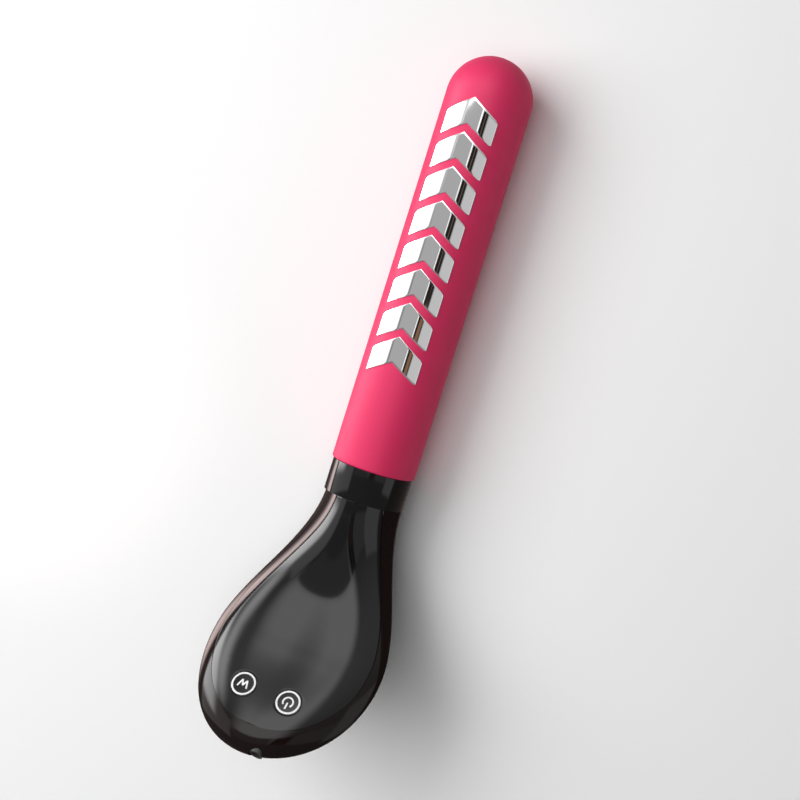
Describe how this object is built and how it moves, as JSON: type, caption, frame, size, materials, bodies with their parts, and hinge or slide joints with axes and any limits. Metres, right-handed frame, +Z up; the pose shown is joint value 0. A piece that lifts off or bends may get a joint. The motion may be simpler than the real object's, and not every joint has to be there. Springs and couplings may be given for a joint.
{
  "type": "skin scrubber",
  "caption": "Wand-type skin scrubber: pink silicone sleeve with chrome chevron ridges, dished upswept spoon head with two push keys, charging socket and vibration motor inside",
  "frame": {"origin": "Centre of the bounding box, on its lowest plane, which touches the sleeve's underside", "axes": "+X runs along the wand towards its rounded tip, +Z is up through the chevron side and the face, +Y is to the left seen from behind the head"},
  "size_m": [0.2151, 0.0551, 0.0541],
  "materials": {
    "armature_core": "dark sintered or laminated metal",
    "armature_windings": "enamelled copper winding",
    "back_housing": "dark maroon-black gloss",
    "battery_cell": "blue shrink wrap",
    "battery_lead_black": "black insulation",
    "battery_lead_red": "red insulation",
    "battery_pads": "black rubber",
    "battery_tabs": "bright steel",
    "board_components": "black moulded packages",
    "board_screws": "bright steel",
    "charging_contact": "bronze or brass",
    "charging_socket": "black socket body",
    "chevron_plate_1": "bright chrome plating",
    "chevron_plate_2": "bright chrome plating",
    "chevron_plate_3": "bright chrome plating",
    "chevron_plate_4": "bright chrome plating",
    "chevron_plate_5": "bright chrome plating",
    "chevron_plate_6": "bright chrome plating",
    "chevron_plate_7": "bright chrome plating",
    "chevron_plate_8": "bright chrome plating",
    "eccentric_weight": "bright steel",
    "face_cover": "piano-black gloss",
    "main_board": "green solder mask",
    "mode_button": "piano-black gloss",
    "mode_icon": "white inlay",
    "mode_plunger": "moulded plastic",
    "mode_switch": "switch can",
    "motor_brushes": "bronze or brass",
    "motor_bush_front": "bronze or brass",
    "motor_bush_rear": "bronze or brass",
    "motor_can": "bright steel",
    "motor_commutator": "bronze or brass",
    "motor_damper": "black rubber",
    "motor_end_cap": "moulded plastic",
    "motor_lead_black": "black insulation",
    "motor_lead_red": "red insulation",
    "motor_magnets": "dark sintered or laminated metal",
    "motor_shaft": "bright steel",
    "neck_collar": "piano-black gloss",
    "neck_seal": "black rubber",
    "power_button": "piano-black gloss",
    "power_icon": "white inlay",
    "power_plunger": "moulded plastic",
    "power_switch": "switch can",
    "silicone_sleeve": "matte silicone rubber, pink",
    "socket_tabs": "bright steel",
    "wand_tube_lower": "natural ABS",
    "wand_tube_upper": "natural ABS"
  },
  "bodies": {
    "shell": {"back_housing": "back_housing", "battery_cell": "battery_cell", "battery_lead_black": "battery_lead_black", "battery_lead_red": "battery_lead_red", "battery_pads": "battery_pads", "battery_tabs": "battery_tabs", "board_components": "board_components", "board_screws": "board_screws", "charging_contact": "charging_contact", "charging_socket": "charging_socket", "chevron_plate_1": "chevron_plate_1", "chevron_plate_2": "chevron_plate_2", "chevron_plate_3": "chevron_plate_3", "chevron_plate_4": "chevron_plate_4", "chevron_plate_5": "chevron_plate_5", "chevron_plate_6": "chevron_plate_6", "chevron_plate_7": "chevron_plate_7", "chevron_plate_8": "chevron_plate_8", "face_cover": "face_cover", "main_board": "main_board", "mode_switch": "mode_switch", "motor_brushes": "motor_brushes", "motor_bush_front": "motor_bush_front", "motor_bush_rear": "motor_bush_rear", "motor_can": "motor_can", "motor_damper": "motor_damper", "motor_end_cap": "motor_end_cap", "motor_lead_black": "motor_lead_black", "motor_lead_red": "motor_lead_red", "motor_magnets": "motor_magnets", "neck_collar": "neck_collar", "neck_seal": "neck_seal", "power_switch": "power_switch", "silicone_sleeve": "silicone_sleeve", "socket_tabs": "socket_tabs", "wand_tube_lower": "wand_tube_lower", "wand_tube_upper": "wand_tube_upper"},
    "rotor": {"motor_shaft": "motor_shaft", "armature_core": "armature_core", "armature_windings": "armature_windings", "motor_commutator": "motor_commutator", "eccentric_weight": "eccentric_weight"},
    "power_key": {"power_button": "power_button", "power_icon": "power_icon", "power_plunger": "power_plunger"},
    "mode_key": {"mode_button": "mode_button", "mode_icon": "mode_icon", "mode_plunger": "mode_plunger"}
  },
  "joints": [
    {"name": "rotor_spin", "type": "hinge", "parent": "shell", "child": "rotor", "pos_m": [0.0715, 0, 0.0132], "axis": [1, 0, 0], "continuous": true},
    {"name": "power_press", "type": "slide", "parent": "shell", "child": "power_key", "axis": [-0.6415, 0, -0.7671], "range_m": [0, 0.0003], "stiffness_N_per_m": 400, "springref_m": -0.0005},
    {"name": "mode_press", "type": "slide", "parent": "shell", "child": "mode_key", "axis": [-0.6415, 0, -0.7671], "range_m": [0, 0.0003], "stiffness_N_per_m": 400, "springref_m": -0.0005}
  ]
}
